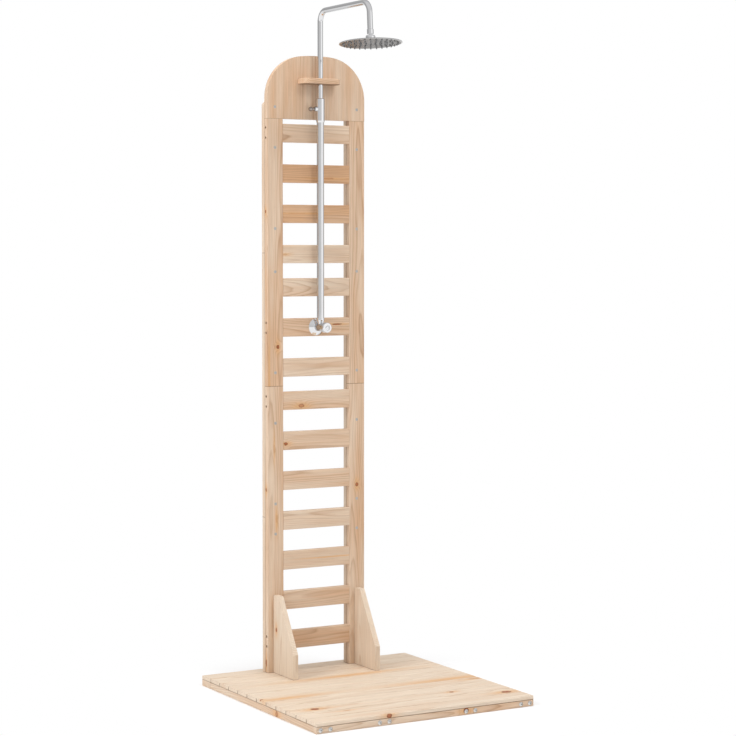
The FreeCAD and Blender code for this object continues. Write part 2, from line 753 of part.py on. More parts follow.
SEAT = "(lower_tube_top - sleeve_bottom)"
sleeve = turned("sleeve_blank", [
    ("lower_tube_radius", "0"), ("lower_tube_radius + sleeve_lip", "0"), ("sleeve_radius", "sleeve_taper"),
    ("sleeve_radius", "sleeve_height - sleeve_chamfer"), ("sleeve_radius - sleeve_chamfer", "sleeve_height"),
    ("riser_radius + running_gap", "sleeve_height"), ("riser_radius + running_gap", SEAT),
    ("lower_tube_radius", SEAT)])
bind(sleeve, y=RISER_Y, z="sleeve_bottom")
CLAMP_FROM = "(riser_radius + clamp_boss_sink)"
boss = rod("clamp_boss", "clamp_boss_radius", f"clamp_boss_reach - {CLAMP_FROM}", TURN_LEFT)
bind(boss, x=f"-{CLAMP_FROM}", y=RISER_Y, z="clamp_height")
boss_bore = rod("clamp_bore", "clamp_screw_radius + running_gap", "clamp_boss_reach", TURN_LEFT)
bind(boss_bore, x="-clamp_screw_radius", y=RISER_Y, z="clamp_height")
node(cut("clamp_sleeve", joined("sleeve_and_boss", sleeve, boss), boss_bore), "clamp_sleeve")

pad = rod("clamp_pad", "clamp_screw_radius", "clamp_screw_tip - clamp_pad_reach", TURN_LEFT)
bind(pad, x="-clamp_pad_reach", y=RISER_Y, z="clamp_height")
node(pad, "clamp_pad")
THUMB_FOOT = "(clamp_boss_reach + thumb_gap)"
THUMB_BALL = f"({THUMB_FOOT} + thumb_ball_from)"
thumb = turned("clamp_screw", [
    ("0", "clamp_screw_tip"), ("clamp_screw_radius", "clamp_screw_tip"), ("clamp_screw_radius", THUMB_FOOT),
    ("thumb_flange_radius", THUMB_FOOT),
    ("thumb_flange_radius", f"{THUMB_FOOT} + thumb_flange_thickness", "-thumb_neck_curve"),
    ("thumb_waist_radius", f"{THUMB_BALL} - sqrt(thumb_ball_radius ^ 2 - thumb_waist_radius ^ 2)",
     "thumb_ball_radius"),
    ("thumb_ball_radius", THUMB_BALL, "thumb_ball_radius"), ("0", f"{THUMB_BALL} + thumb_ball_radius")])
thumb.Placement = Placement(Vector(), TURN_LEFT)
bind(thumb, y=RISER_Y, z="clamp_height")
node(thumb, "clamp_screw")

# The upper tube: up from its foot, over two equal bends, and down to the ball connector at a
# slight outward tilt. The connector's seat for the tube lies tube_stop above the ball.
tube_stop = size("tube_stop")
bend = size("arm_bend")
rise = size("arm_height") - bend - size("riser_foot")
bend_end_z = size("arm_height") - bend + bend * math.sin(outlet_tilt)
drop = (bend_end_z - size("ball_height")) / math.cos(outlet_tilt) - tube_stop
run = size("arm_reach") - bend * math.cos(outlet_tilt) - (drop + tube_stop) * math.sin(outlet_tilt)
TILT = "(outlet_tilt * 1 deg)"
DROP = f"((arm_height - arm_bend + arm_bend * sin{TILT} - ball_height) / cos{TILT} - tube_stop)"
RUN = f"(arm_reach - arm_bend * cos{TILT} - ({DROP} + tube_stop) * sin{TILT})"

arm = doc.addObject("PartDesign::Body", "riser_arm")
path = new_sketch(arm, "YZ_Plane", "arm_path")
path.addGeometry(Part.LineSegment(Vector(0, 0, 0), Vector(0, rise, 0)))
path.addGeometry(Part.ArcOfCircle(Part.Circle(Vector(-bend, rise, 0), normal, bend), 0, math.pi / 2))
path.addGeometry(Part.LineSegment(Vector(-bend, rise + bend, 0), Vector(-run, rise + bend, 0)))
path.addGeometry(Part.ArcOfCircle(Part.Circle(Vector(-run, rise, 0), normal, bend),
                                  math.pi / 2, math.pi - outlet_tilt))
bend_end = Vector(-run - bend * math.cos(outlet_tilt), rise + bend * math.sin(outlet_tilt), 0)
outlet = Vector(-math.sin(outlet_tilt), -math.cos(outlet_tilt), 0)
path.addGeometry(Part.LineSegment(bend_end, bend_end + outlet * drop))
path.addConstraint([
    Sketcher.Constraint("Coincident", 0, 1, -1, 1), Sketcher.Constraint("Vertical", 0),
    Sketcher.Constraint("Tangent", 0, 2, 1, 1), Sketcher.Constraint("Tangent", 1, 2, 2, 1),
    Sketcher.Constraint("Horizontal", 2), Sketcher.Constraint("Tangent", 2, 2, 3, 1),
    Sketcher.Constraint("Tangent", 3, 2, 4, 1), Sketcher.Constraint("Equal", 1, 3)])
constrain(path, "DistanceY", "arm_height - arm_bend - riser_foot", 0, 1, 0, 2, rise)
constrain(path, "Radius", "arm_bend", 1, bend)
constrain(path, "DistanceX", f"-{RUN}", -1, 1, 2, 2, -run)
constrain(path, "Angle", "-90 - outlet_tilt", 4, -math.pi / 2 - outlet_tilt)
constrain(path, "Distance", DROP, 4, drop)
doc.recompute()
for kind, radius in (("AdditivePipe", "riser_radius"), ("SubtractivePipe", "riser_bore")):
    ring = new_sketch(arm, "XY_Plane", radius + "_ring")
    ring.addGeometry(Part.Circle(Vector(), normal, size(radius)))
    ring.addConstraint(Sketcher.Constraint("Coincident", 0, 3, -1, 1))
    constrain(ring, "Radius", radius, 0, size(radius))
    pipe = arm.newObject("PartDesign::" + kind, radius + "_pipe")
    pipe.Profile = ring
    pipe.Spine = path
    doc.recompute()
bind(arm, y=RISER_Y, z="riser_foot")
node(arm, "riser_arm")

# The guide bush plugs into the tube's foot and slides in the lower tube on two O-rings.
land = "lower_tube_bore - running_gap"
groove = "lower_tube_bore - 2 * (seal_section + seal_gap)"
plug = "riser_bore - running_gap"
LOW_GROOVE = "seal_from_end"
HIGH_GROOVE = "(bush_length - seal_from_end - seal_groove)"
bush = turned("guide_bush", [
    ("bush_bore", "0"), (land, "0"), (land, LOW_GROOVE), (groove, LOW_GROOVE),
    (groove, f"{LOW_GROOVE} + seal_groove"), (land, f"{LOW_GROOVE} + seal_groove"), (land, HIGH_GROOVE),
    (groove, HIGH_GROOVE), (groove, f"{HIGH_GROOVE} + seal_groove"), (land, f"{HIGH_GROOVE} + seal_groove"),
    (land, "bush_length"), (plug, "bush_length"), (plug, "bush_length + bush_plug"),
    ("bush_bore", "bush_length + bush_plug")])
bind(bush, y=RISER_Y, z="riser_foot - bush_length")
node(bush, "guide_bush")
rings = []
for name, foot in (("low", LOW_GROOVE), ("high", HIGH_GROOVE)):
    ring = doc.addObject("Part::Torus", f"ring_{name}")
    bind(ring, Radius1="lower_tube_bore - seal_section - seal_gap", Radius2="seal_section", y=RISER_Y,
         z=f"riser_foot - bush_length + {foot} + seal_groove / 2")
    rings.append(ring)
node(grouped("guide_seals", *rings), "guide_seals")

# ---------------------------------------------------------------- valve
# The valve's turned pieces stand on the slat's face: their Z is the distance in front of it.

def on_slat(item):
    item.Placement = Placement(Vector(), TURN_FRONT)
    return bind(item, y=LADDER_FRONT, z="valve_height")


barrel = on_slat(rod("valve_barrel", "valve_barrel_radius", "valve_barrel_length"))
THREAD_FROM = "(valve_shank_length + inlet_undercut_length)"
TAIL_END = f"({THREAD_FROM} + inlet_thread_length + inlet_chamfer)"
tail = turned("valve_tail", [
    ("0", "0"), ("valve_shank_radius", "0"), ("valve_shank_radius", "valve_shank_length"),
    ("inlet_undercut_radius", "valve_shank_length"), ("inlet_undercut_radius", THREAD_FROM),
    ("inlet_thread_radius", THREAD_FROM), ("inlet_thread_radius", f"{TAIL_END} - inlet_chamfer"),
    ("inlet_thread_radius - inlet_chamfer", TAIL_END), ("0", TAIL_END)])
tail.Placement = Placement(Vector(), TURN_BACK)
bind(tail, y=LADDER_FRONT, z="valve_height")
tube_socket = turned("tube_socket", [
    ("0", "0"), ("socket_neck_radius", "0"), ("socket_neck_radius", "socket_neck_height"),
    ("socket_radius", "tube_seat_height"), ("socket_radius", "tube_seat_height + tube_socket_depth"),
    ("0", "tube_seat_height + tube_socket_depth")])
bind(tube_socket, y=RISER_Y, z="valve_height")
SEAT_MARGIN = 0.5
inlet = rod("inlet_way", "inlet_bore", f"{TAIL_END} + valve_seat_depth + {SEAT_MARGIN}", TURN_BACK)
bind(inlet, y=f"{LADDER_FRONT} - valve_seat_depth - {SEAT_MARGIN}", z="valve_height")
seat_bore = turned("seat_bore", [
    ("0", "valve_seat_depth"), ("valve_seat_radius", "valve_seat_depth"),
    ("valve_seat_radius", "valve_barrel_length + 1"), ("0", "valve_barrel_length + 1")])
on_slat(seat_bore)
riser_way = bind(rod("riser_way", "riser_way_radius", "tube_seat_height"), y=RISER_Y, z="valve_height")
tube_seat = bind(rod("tube_seat", "lower_tube_radius", "tube_seat_height"), y=RISER_Y, z=TUBE_FOOT)
node(cut("valve_body", joined("valve_casting", barrel, tail, tube_socket),
         inlet, seat_bore, riser_way, tube_seat), "valve_body")

# The rosette is a thin cap of a sphere, open in the middle for the barrel.
ROSETTE_SPHERE = cap_sphere("rosette_radius", "rosette_rise")
ROSETTE_HOLLOW = f"({ROSETTE_SPHERE} - rosette_thickness)"
ROSETTE_SINK = f"({ROSETTE_SPHERE} - rosette_rise)"
rosette = turned("valve_rosette", [
    (f"sqrt({ROSETTE_HOLLOW} ^ 2 - {ROSETTE_SINK} ^ 2)", "0"), ("rosette_radius", "0", ROSETTE_SPHERE),
    ("valve_barrel_radius", f"sqrt({ROSETTE_SPHERE} ^ 2 - valve_barrel_radius ^ 2) - {ROSETTE_SINK}"),
    ("valve_barrel_radius", f"sqrt({ROSETTE_HOLLOW} ^ 2 - valve_barrel_radius ^ 2) - {ROSETTE_SINK}",
     f"-{ROSETTE_HOLLOW}")])
node(on_slat(rosette), "valve_rosette")

SPINDLE_BORE = "spindle_radius + running_gap"
COLLAR_END = "(valve_barrel_length + gland_collar_length)"
GLAND_END = "(valve_barrel_length + gland_length)"
cartridge_turn = turned("cartridge_turn", [
    ("cartridge_bore", "cartridge_from"), ("valve_seat_radius", "cartridge_from"),
    ("valve_seat_radius", "valve_barrel_length"), ("gland_collar", "valve_barrel_length"),
    ("gland_collar", COLLAR_END), ("gland_radius", COLLAR_END), ("gland_radius", GLAND_END),
    (SPINDLE_BORE, GLAND_END), (SPINDLE_BORE, "cartridge_bore_end"),
    ("cartridge_bore", "cartridge_bore_end")])
on_slat(cartridge_turn)
port = bind(rod("cartridge_way", "cartridge_port", "2 * valve_seat_radius"), y=RISER_Y, z="valve_height")
node(cut("valve_cartridge", cartridge_turn, port), "valve_cartridge")

KNOB_BACK = "(valve_barrel_length + knob_gap)"
KNOB_FACE = f"({KNOB_BACK} + knob_length)"
DISH = f"({KNOB_FACE} - knob_dish_depth)"
SPINDLE_END = f"({KNOB_FACE} - knob_hub_depth)"
HOLLOW_END = f"({KNOB_BACK} + knob_hollow)"
spindle = turned("valve_spindle", [
    ("0", "disc_from"), ("disc_radius", "disc_from"), ("disc_radius", "cartridge_from - disc_play"),
    ("spindle_radius", "cartridge_from - disc_play"), ("spindle_radius", SPINDLE_END), ("0", SPINDLE_END)])
node(on_slat(spindle), "valve_spindle")
knob = turned("valve_knob", [
    ("knob_dish_radius", KNOB_BACK), ("knob_radius - knob_edge", KNOB_BACK, "knob_edge"),
    ("knob_radius", f"{KNOB_BACK} + knob_edge"), ("knob_radius", f"{KNOB_FACE} - knob_edge", "knob_edge"),
    ("knob_radius - knob_edge", KNOB_FACE), ("knob_dish_radius", KNOB_FACE),
    ("knob_dish_radius - knob_dish_slope", DISH), ("0", DISH), ("0", SPINDLE_END),
    ("spindle_radius", SPINDLE_END), ("spindle_radius", HOLLOW_END), ("knob_dish_radius", HOLLOW_END)])
node(on_slat(knob), "valve_knob")
cap_dome = cap_sphere("cap_radius", "cap_rise - cap_edge")
cap = turned("knob_cap", [("0", DISH), ("cap_radius", DISH), ("cap_radius", f"{DISH} + cap_edge", cap_dome),
                          ("0", f"{DISH} + cap_rise")])
node(on_slat(cap), "knob_cap")

hexagon = padded("back_nut_hex", "XY_Plane", hexagon_corners("back_nut_radius"), "back_nut_thickness")
hexagon.Placement = Placement(Vector(), TURN_BACK)
bind(hexagon, y=f"{LADDER_FRONT} + board_thickness", z="valve_height")
node(cut("back_nut", hexagon, tail), "back_nut")

# ---------------------------------------------------------------- head
# Pieces of the head are turned about the outlet's axis: their origin is the ball's centre.

def on_ball(item):
    item.Placement = Placement(Vector(), Rotation(Vector(1, 0, 0), -size("outlet_tilt")))
    item.setExpression(".Placement.Rotation.Angle", cells("outlet_tilt"))
    item.Placement.Rotation.Axis = Vector(-1, 0, 0)
    return bind(item, y=f"{RISER_Y} - arm_reach", z="ball_height")


neck = rod("ball_neck", "neck_radius", "ferrule_from + ferrule_chamfer")
ferrule = turned("ball_ferrule", [
    ("water_bore", "ferrule_from"), ("ferrule_radius - ferrule_chamfer", "ferrule_from"),
    ("ferrule_radius", "ferrule_from + ferrule_chamfer"), ("ferrule_radius", "ferrule_top - ferrule_chamfer"),
    ("ferrule_radius - ferrule_chamfer", "ferrule_top"), ("riser_radius", "ferrule_top"),
    ("riser_radius", "tube_stop"), ("water_bore", "tube_stop")])
water_way = bind(rod("ball_way", "water_bore", "ball_radius + ferrule_top"), z="-ball_radius")
connector = cut("ball_connector", joined("ball_and_neck", ball("ball_solid", "ball_radius"), neck, ferrule),
                water_way)
node(on_ball(connector), "ball_connector")


def ball_zone(label, low, high):
    """A ring of the spherical shell between the ball and its housing, between two heights."""
    shell = cut(label + "_shell", ball(label + "_outer", "liner_radius"),
                ball(label + "_inner", "ball_radius + running_gap"))
    slab = bind(rod(label + "_slab", "2 * liner_radius", f"{high} - {low}"), z=low)
    zone = doc.addObject("Part::Common", label)
    zone.Base = shell
    zone.Tool = slab
    return node(on_ball(zone), label)


ball_zone("ball_liner", "liner_low", "liner_high")
ball_zone("ball_seal", "seal_low", "seal_high")

housing = "liner_radius + running_gap"
nut_turn = turned("nut_turn", [
    ("0", "-nut_foot"), ("nut_radius - nut_chamfer", "-nut_foot"), ("nut_radius", "nut_chamfer - nut_foot"),
    ("nut_radius", "nut_shoulder", "nut_curve"), ("nut_top_radius", "nut_top"), ("0", "nut_top")])
nut_skirt = bind(rod("nut_skirt", "nut_bore", "nut_foot - head_hub_top"), z="-nut_foot")
nut_mouth = turned("nut_mouth", [("0", "nut_mouth_from"), ("nut_mouth", "nut_mouth_from"),
                                 ("nut_mouth + nut_mouth_flare", "nut_top"), ("0", "nut_top")])
node(on_ball(cut("swivel_nut", nut_turn, ball("nut_hollow", housing), nut_skirt, nut_mouth)), "swivel_nut")

# The head's shell: a hub that the nut screws on to, a low dome, and a round edge that holds the
# spray plate. Its inner side follows the dome one wall thickness below.
EDGE_X = "(head_radius - head_edge)"
EDGE_Z = "(head_edge - head_depth)"
INNER_HUB = "(head_hub_depth + 1.4 * shell_thickness)"
shell_turn = turned("shell_turn", [
    ("head_inlet_radius", "-head_floor_depth"), ("head_inlet_radius", "-head_hub_top"),
    ("nut_bore", "-head_hub_top"), ("nut_bore", "-nut_foot"),
    ("head_hub_radius - 1", "-nut_foot"), ("head_hub_radius", "-head_hub_depth", "-head_dome_radius"),
    (EDGE_X, f"{EDGE_Z} + head_edge", "-head_edge"), ("head_radius", EDGE_Z, "-head_edge"),
    (EDGE_X, "-head_depth"), ("plate_radius", "-head_depth"),
    ("plate_radius", "plate_thickness - head_depth", "head_dome_radius"),
    ("head_hub_radius", f"-{INNER_HUB}"), ("head_floor_radius", "-head_floor_depth")])
node(on_ball(cut("head_shell", shell_turn, ball("shell_hollow", housing))), "head_shell")

# Silicone nozzles stand in five rings; each one plugs a hole of the spray plate.
PLATE_TOP = "(plate_thickness - head_depth)"
BEAD_TOP = f"({PLATE_TOP} + nozzle_bead)"
nozzle = turned("nozzle", [
    ("nozzle_bore", BEAD_TOP), ("nozzle_radius + nozzle_bead", BEAD_TOP),
    ("nozzle_radius + nozzle_bead", PLATE_TOP), ("nozzle_radius", PLATE_TOP), ("nozzle_radius", "-head_depth"),
    ("nozzle_radius + nozzle_lip", "-head_depth - nozzle_lip_length"),
    ("nozzle_tip_radius", "-head_depth - nozzle_length"), ("nozzle_bore", "-head_depth - nozzle_length")])
NOZZLE_RINGS = ((16, 6), (34, 12), (52, 18), (70, 24), (87, 30))
nozzle_places = [Placement(Vector(radius * math.cos(2 * math.pi * i / count),
                                  radius * math.sin(2 * math.pi * i / count), 0), Rotation())
                 for radius, count in NOZZLE_RINGS for i in range(count)]
nozzle_way = turned("nozzle_way", [
    ("0", "-head_depth - nozzle_bead"), ("nozzle_radius", "-head_depth - nozzle_bead"),
    ("nozzle_radius", BEAD_TOP), ("0", BEAD_TOP)])
plate_turn = turned("plate_turn", [
    ("0", "-head_depth"), ("plate_radius", "-head_depth"), ("plate_radius", PLATE_TOP), ("0", PLATE_TOP)])
plate = cut("spray_plate", plate_turn, separate("nozzle_holes", placed(nozzle_way, nozzle_places)))
node(on_ball(plate), "spray_plate")
node(on_ball(separate("nozzles", placed(nozzle, nozzle_places))), "nozzles")

# ---------------------------------------------------------------- check and write

doc.recompute()
for item in doc.Objects:
    if "Invalid" in item.State or "Error" in item.State:
        raise RuntimeError(f"{item.Label} failed: {item.State}")
for item in nodes:
    if item.Shape.isNull() or not item.Shape.isValid() or not item.Shape.Solids:
        raise RuntimeError(f"{item.Label} has no valid solid")

os.makedirs("parts", exist_ok=True)
for item in nodes:
    item.Shape.exportStep(f"parts/{item.Label}.step")
print(len(nodes), "sub-parts,", sum(len(item.Shape.Solids) for item in nodes), "solids")
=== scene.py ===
import json
import math
import random

import bpy
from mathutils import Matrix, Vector


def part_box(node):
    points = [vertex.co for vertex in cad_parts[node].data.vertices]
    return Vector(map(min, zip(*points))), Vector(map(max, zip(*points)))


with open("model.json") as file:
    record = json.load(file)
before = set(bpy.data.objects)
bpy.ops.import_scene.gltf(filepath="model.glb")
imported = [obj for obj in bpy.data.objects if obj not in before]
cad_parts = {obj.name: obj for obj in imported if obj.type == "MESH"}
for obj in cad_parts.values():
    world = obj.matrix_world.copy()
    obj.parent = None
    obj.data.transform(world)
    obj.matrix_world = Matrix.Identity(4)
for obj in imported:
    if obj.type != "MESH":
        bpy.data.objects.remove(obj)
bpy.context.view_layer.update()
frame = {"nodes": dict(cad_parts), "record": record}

# The outdoor shower post, dressed: pine boards whose grain follows each board, chromed tubes and
# fittings, zinc-plated fasteners, and soft studio light on a pale floor.

nodes = frame["nodes"]


def millimetres(*values):
    return tuple(value / 1000 for value in values)


# ---------------------------------------------------------------- node trees

def wire(tree, kind, inputs=None, **settings):
    """Add a node, set its properties, and feed its inputs with values or with other sockets."""
    node = tree.nodes.new(kind)
    for name, value in settings.items():
        setattr(node, name, value)
    for key, value in (inputs or {}).items():
        if isinstance(value, bpy.types.NodeSocket):
            tree.links.new(value, node.inputs[key])
        else:
            node.inputs[key].default_value = value
    return node


def maths(tree, operation, a, b=0.0, c=0.0, clamp=False):
    node = wire(tree, "ShaderNodeMath", {0: a, 1: b, 2: c}, operation=operation, use_clamp=clamp)
    return node.outputs[0]


def vectors(tree, operation, a, b=(0, 0, 0)):
    node = wire(tree, "ShaderNodeVectorMath", {0: a, 1: b}, operation=operation)
    return node.outputs["Value" if operation in ("LENGTH", "DOT_PRODUCT") else "Vector"]


def noise(tree, place, stretch, detail=2.0, rough=0.5, output="Fac"):
    """A noise field whose cells are stretched: `stretch` is how many there are to the metre."""
    scaled = vectors(tree, "MULTIPLY", place, stretch)
    node = wire(tree, "ShaderNodeTexNoise",
                {"Vector": scaled, "Scale": 1.0, "Detail": detail, "Roughness": rough})
    return node.outputs[output]


def ramp(tree, factor, stops, smooth="LINEAR"):
    """A colour ramp from (position, grey or colour) stops."""
    node = wire(tree, "ShaderNodeValToRGB", {"Fac": factor})
    node.color_ramp.interpolation = smooth
    marks = node.color_ramp.elements
    while len(marks) < len(stops):
        marks.new(0.5)
    for mark, (position, colour) in zip(marks, stops):
        mark.position = position
        mark.color = (*colour, 1) if isinstance(colour, tuple) else (colour, colour, colour, 1)
    return node.outputs["Color"]


def mixed(tree, factor, a, b, blend="MIX"):
    node = wire(tree, "ShaderNodeMix", {"Factor": factor, 6: a, 7: b}, data_type="RGBA", blend_type=blend)
    return node.outputs[2]


def new_group(name, inputs, outputs):
    """A shader group with (name, type) sockets; returns it with its input and output nodes."""
    group = bpy.data.node_groups.new(name, "ShaderNodeTree")
    for side, sockets in (("INPUT", inputs), ("OUTPUT", outputs)):
        for socket, kind in sockets:
            group.interface.new_socket(socket, in_out=side, socket_type="NodeSocket" + kind)
    return group, group.nodes.new("NodeGroupInput"), group.nodes.new("NodeGroupOutput")


def use_group(tree, group, inputs):
    node = tree.nodes.new("ShaderNodeGroup")
    node.node_tree = group
    for key, value in inputs.items():
        if isinstance(value, bpy.types.NodeSocket):
            tree.links.new(value, node.inputs[key])
        else:
            node.inputs[key].default_value = value
    return node


def new_material(name):
    """A material with a bare Principled shader; returns the material, its tree and the shader."""
    material = bpy.data.materials.new(name)
    material.use_nodes = True
    tree = material.node_tree
    tree.nodes.clear()
    shader = tree.nodes.new("ShaderNodeBsdfPrincipled")
    output = tree.nodes.new("ShaderNodeOutputMaterial")
    tree.links.new(shader.outputs[0], output.inputs["Surface"])
    return material, tree, shader


def dress(name, material):
    """Give a CAD node a material."""
    for slot in nodes[name].material_slots:
        slot.material = material


# ---------------------------------------------------------------- pine

# Any three weights that give each cell a number of its own.
CELL_WEIGHTS = (3.7, 1.9, 5.3)


def make_board_space():
    """Board coordinates. Space is cut into cells, one for each solid of a node: the group gives
    the place within the cell, and a number that differs from cell to cell."""
    group, given, result = new_group("board_space", (("Low", "Vector"), ("Step", "Vector")),
                                     (("Local", "Vector"), ("Number", "Float")))
    place = wire(group, "ShaderNodeTexCoord").outputs["Object"]
    from_low = vectors(group, "SUBTRACT", place, given.outputs["Low"])
    cell = vectors(group, "FLOOR", vectors(group, "DIVIDE", from_low, given.outputs["Step"]))
    middle = vectors(group, "MULTIPLY", vectors(group, "ADD", cell, (0.5, 0.5, 0.5)), given.outputs["Step"])
    group.links.new(vectors(group, "SUBTRACT", from_low, middle), result.inputs["Local"])
    group.links.new(vectors(group, "DOT_PRODUCT", cell, CELL_WEIGHTS), result.inputs["Number"])
    return group


def make_knot():
    """A knot as a solid blob: its heart, its rim, the amber streak that runs out of it along the
    grain, and how far it bends the grain. Place and Centre are in the board's own axes, Length is
    its reach along the grain and Radius its reach across."""
    group, given, result = new_group(
        "knot", (("Place", "Vector"), ("Centre", "Vector"), ("Radius", "Float"), ("Length", "Float"),
                 ("Strength", "Float")),
        (("Heart", "Float"), ("Rim", "Float"), ("Bend", "Float"), ("Halo", "Float")))
    wobble = vectors(group, "SUBTRACT", noise(group, given.outputs["Place"], (90, 150, 150), 3, 0.6, "Color"),
                     (0.5, 0.5, 0.5))
    reach = wire(group, "ShaderNodeCombineXYZ", {
        0: given.outputs["Length"], 1: given.outputs["Radius"], 2: given.outputs["Radius"]}).outputs[0]
    scaled = vectors(group, "ADD", vectors(group, "DIVIDE", vectors(
        group, "SUBTRACT", given.outputs["Place"], given.outputs["Centre"]), reach),
        vectors(group, "MULTIPLY", wobble, (1.2, 1.2, 1.2)))
    away = vectors(group, "LENGTH", scaled)
    heart = wire(group, "ShaderNodeMapRange", {"Value": away, "From Min": 1.25, "From Max": 0.8},
                 interpolation_type="SMOOTHSTEP")
    off_rim = maths(group, "MULTIPLY", maths(group, "SUBTRACT", away, 0.9), 5.0)
    rim = maths(group, "EXPONENT", maths(group, "MULTIPLY", maths(group, "MULTIPLY", off_rim, off_rim), -1.0))
    near = maths(group, "MULTIPLY", away, 0.42)
    bend = maths(group, "EXPONENT", maths(group, "MULTIPLY", maths(group, "MULTIPLY", near, near), -1.0))
    far = vectors(group, "LENGTH", vectors(group, "MULTIPLY", scaled, (0.25, 0.55, 0.55)))
    halo = maths(group, "EXPONENT", maths(group, "MULTIPLY", maths(group, "MULTIPLY", far, far), -1.0))
    strength = given.outputs["Strength"]
    group.links.new(maths(group, "MULTIPLY", heart.outputs[0], strength), result.inputs["Heart"])
    group.links.new(maths(group, "MULTIPLY", rim, strength), result.inputs["Rim"])
    group.links.new(maths(group, "MULTIPLY", maths(group, "MULTIPLY", bend, given.outputs["Radius"]), 1.5),
                    result.inputs["Bend"])
    group.links.new(halo, result.inputs["Halo"])
    return group


def make_growth():
    """Growth rings as a solid: the distance from the pith, bent by slow and quick noise, counted
    in rings. A board sawn near the pith shows arches, one sawn far from it shows lines."""
    group, given, result = new_group(
        "growth", (("Place", "Vector"), ("Number", "Float"), ("Pith", "Vector"), ("Ring", "Float"),
                   ("Bend", "Float")),
        (("Late", "Float"), ("Fibre", "Float"), ("Patch", "Float"), ("Fleck", "Float"), ("Height", "Float")))
    shifted = vectors(group, "ADD", given.outputs["Place"],
                      vectors(group, "MULTIPLY", wire(group, "ShaderNodeCombineXYZ", {
                          0: given.outputs["Number"], 1: given.outputs["Number"], 2: given.outputs["Number"],
                      }).outputs[0], (3.17, 1.31, 2.73)))
    slow = vectors(group, "SUBTRACT", noise(group, shifted, (1.3, 5, 5), 1, output="Color"), (0.5, 0.5, 0.5))
    quick = vectors(group, "SUBTRACT", noise(group, shifted, (5, 34, 34), 2, output="Color"), (0.5, 0.5, 0.5))
    bent = vectors(group, "ADD", vectors(group, "MULTIPLY", slow, (0, 0.055, 0.04)),
                   vectors(group, "MULTIPLY", quick, (0, 0.0042, 0.0042)))
    from_pith = vectors(group, "ADD", vectors(group, "SUBTRACT", given.outputs["Place"],
                                              given.outputs["Pith"]), bent)
    parts = wire(group, "ShaderNodeSeparateXYZ", {0: from_pith})
    flat = wire(group, "ShaderNodeCombineXYZ", {1: parts.outputs["Y"], 2: parts.outputs["Z"]}).outputs[0]
    taper = maths(group, "MULTIPLY", parts.outputs["X"], 0.012)
    radius = maths(group, "ADD", maths(group, "ADD", vectors(group, "LENGTH", flat), taper),
                   given.outputs["Bend"])
    count = maths(group, "ADD", maths(group, "DIVIDE", radius, given.outputs["Ring"]), 40.0)
    within = maths(group, "FRACT", count)
    ring = wire(group, "ShaderNodeTexWhiteNoise",
                {"W": maths(group, "ADD", maths(group, "FLOOR", count), given.outputs["Number"])},
                noise_dimensions="1D").outputs["Value"]
    late = ramp(group, within, ((0.0, 0.5), (0.07, 0.06), (0.5, 0.08), (0.78, 0.5), (0.94, 1.0), (1.0, 0.5)))
    strength = maths(group, "MULTIPLY_ADD", ring, 0.55, 0.45)
    fibre = noise(group, shifted, (14, 900, 900), 2)
    streak = noise(group, shifted, (3, 150, 150), 2)
    grain = maths(group, "MULTIPLY_ADD", fibre, 0.6, maths(group, "MULTIPLY", streak, 0.4))
    patch = noise(group, shifted, (2.6, 24, 24), 3, 0.6)
    fleck = wire(group, "ShaderNodeMapRange", {"Value": noise(group, shifted, (55, 1100, 1100), 1),
                                               "From Min": 0.70, "From Max": 0.78})
    shown_late = maths(group, "MULTIPLY", late, strength)
    group.links.new(shown_late, result.inputs["Late"])
    group.links.new(grain, result.inputs["Fibre"])
    group.links.new(patch, result.inputs["Patch"])
    group.links.new(fleck.outputs[0], result.inputs["Fleck"])
    group.links.new(maths(group, "MULTIPLY_ADD", shown_late, 0.6, grain), result.inputs["Height"])
    return group


BOARD_SPACE = make_board_space()
KNOT = make_knot()
GROWTH = make_growth()

# Linear colours of the wood's parts.
EARLY_WOOD = (0.79, 0.665, 0.53)
LATE_WOOD = (0.60, 0.42, 0.28)
EARLY_AMBER = (0.66, 0.405, 0.235)
LATE_AMBER = (0.36, 0.155, 0.06)
STREAK = (0.68, 0.37, 0.15)
KNOT_HEART = (0.37, 0.095, 0.035)
KNOT_RIM = (0.14, 0.035, 0.014)
FLECK = (0.42, 0.25, 0.15)
# The dark brown of the painted shade in seams, in deep screw holes and under the shelf.
PAINTED_SHADE_COLOUR = (0.17, 0.085, 0.04)

# Which row axes run along, across and through a board, by the way its grain runs.
ACROSS = {"X": "XZY", "X flat": "XYZ", "Y flat": "YXZ", "Z": "ZXY", "Z side": "ZYX"}


# The deep screw holes of the side faces, where shade is painted into the wood: where they lie in X and in Y,
# each with its half width.
HOLE_DEPTH = millimetres(170.5, 11.0)
HOLE_LEVEL = millimetres(328.5, 4.8)


